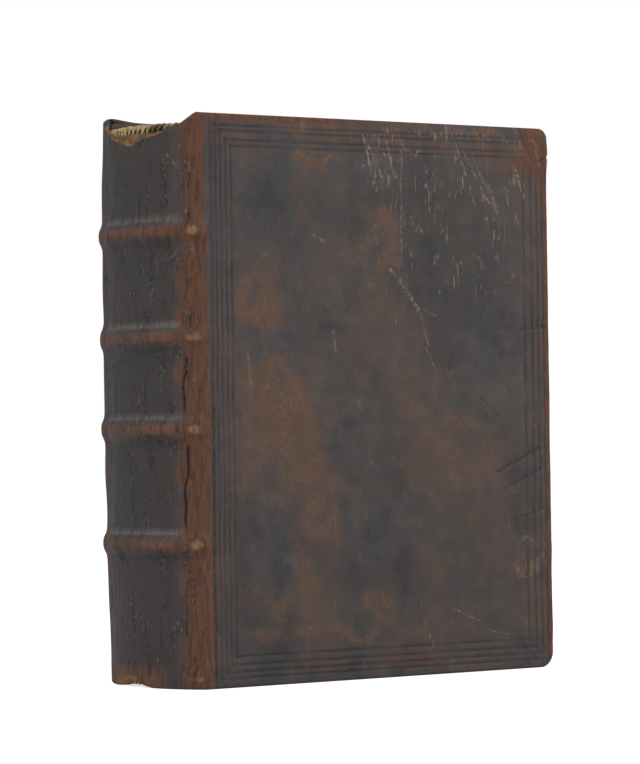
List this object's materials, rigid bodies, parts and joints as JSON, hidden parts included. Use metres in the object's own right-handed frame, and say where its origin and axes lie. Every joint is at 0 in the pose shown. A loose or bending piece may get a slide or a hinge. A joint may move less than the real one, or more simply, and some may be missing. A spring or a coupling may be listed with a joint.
{
  "type": "leather book",
  "caption": "Old hard-bound book in worn dark calf leather with raised bands across a rounded spine and two hinged board covers, standing upright.",
  "frame": {"origin": "middle of the tail: centre of the bounding box in X and Y, at the level the book stands on", "axes": "+X from the spine to the fore-edge, +Y from the front cover to the back cover, +Z from the tail to the head"},
  "size_m": [0.2063, 0.067, 0.24],
  "materials": {
    "calf_leather": "worn, semi-matt",
    "leaves": "aged, matt",
    "endpaper": "aged, matt",
    "lining_paper": "matt",
    "pasteboard": "matt",
    "hemp_cord": "fibrous",
    "endband_core": "fibrous",
    "silk_thread": "soiled, matt"
  },
  "bodies": {
    "leaves": {"text_block": "leaves", "spine_leather": "calf_leather", "sewing_cord_1": "hemp_cord", "sewing_cord_2": "hemp_cord", "sewing_cord_3": "hemp_cord", "sewing_cord_4": "hemp_cord", "spine_lining_1": "lining_paper", "spine_lining_2": "lining_paper", "spine_lining_3": "lining_paper", "spine_lining_4": "lining_paper", "spine_lining_5": "lining_paper", "head_endband_core": "endband_core", "head_endband_thread": "silk_thread", "tail_endband_core": "endband_core", "tail_endband_thread": "silk_thread"},
    "front_cover": {"front_board": "pasteboard", "front_cover_leather": "calf_leather", "front_pastedown": "endpaper"},
    "back_cover": {"back_board": "pasteboard", "back_cover_leather": "calf_leather", "back_pastedown": "endpaper"}
  },
  "joints": [
    {"name": "front_cover_hinge", "type": "hinge", "parent": "leaves", "child": "front_cover", "pos_m": [-0.09083, -0.0335, 0.12], "axis": [0, 0, -1], "range_deg": [0, 180]},
    {"name": "back_cover_hinge", "type": "hinge", "parent": "leaves", "child": "back_cover", "pos_m": [-0.09083, 0.0335, 0.12], "axis": [0, 0, 1], "range_deg": [0, 180]}
  ]
}
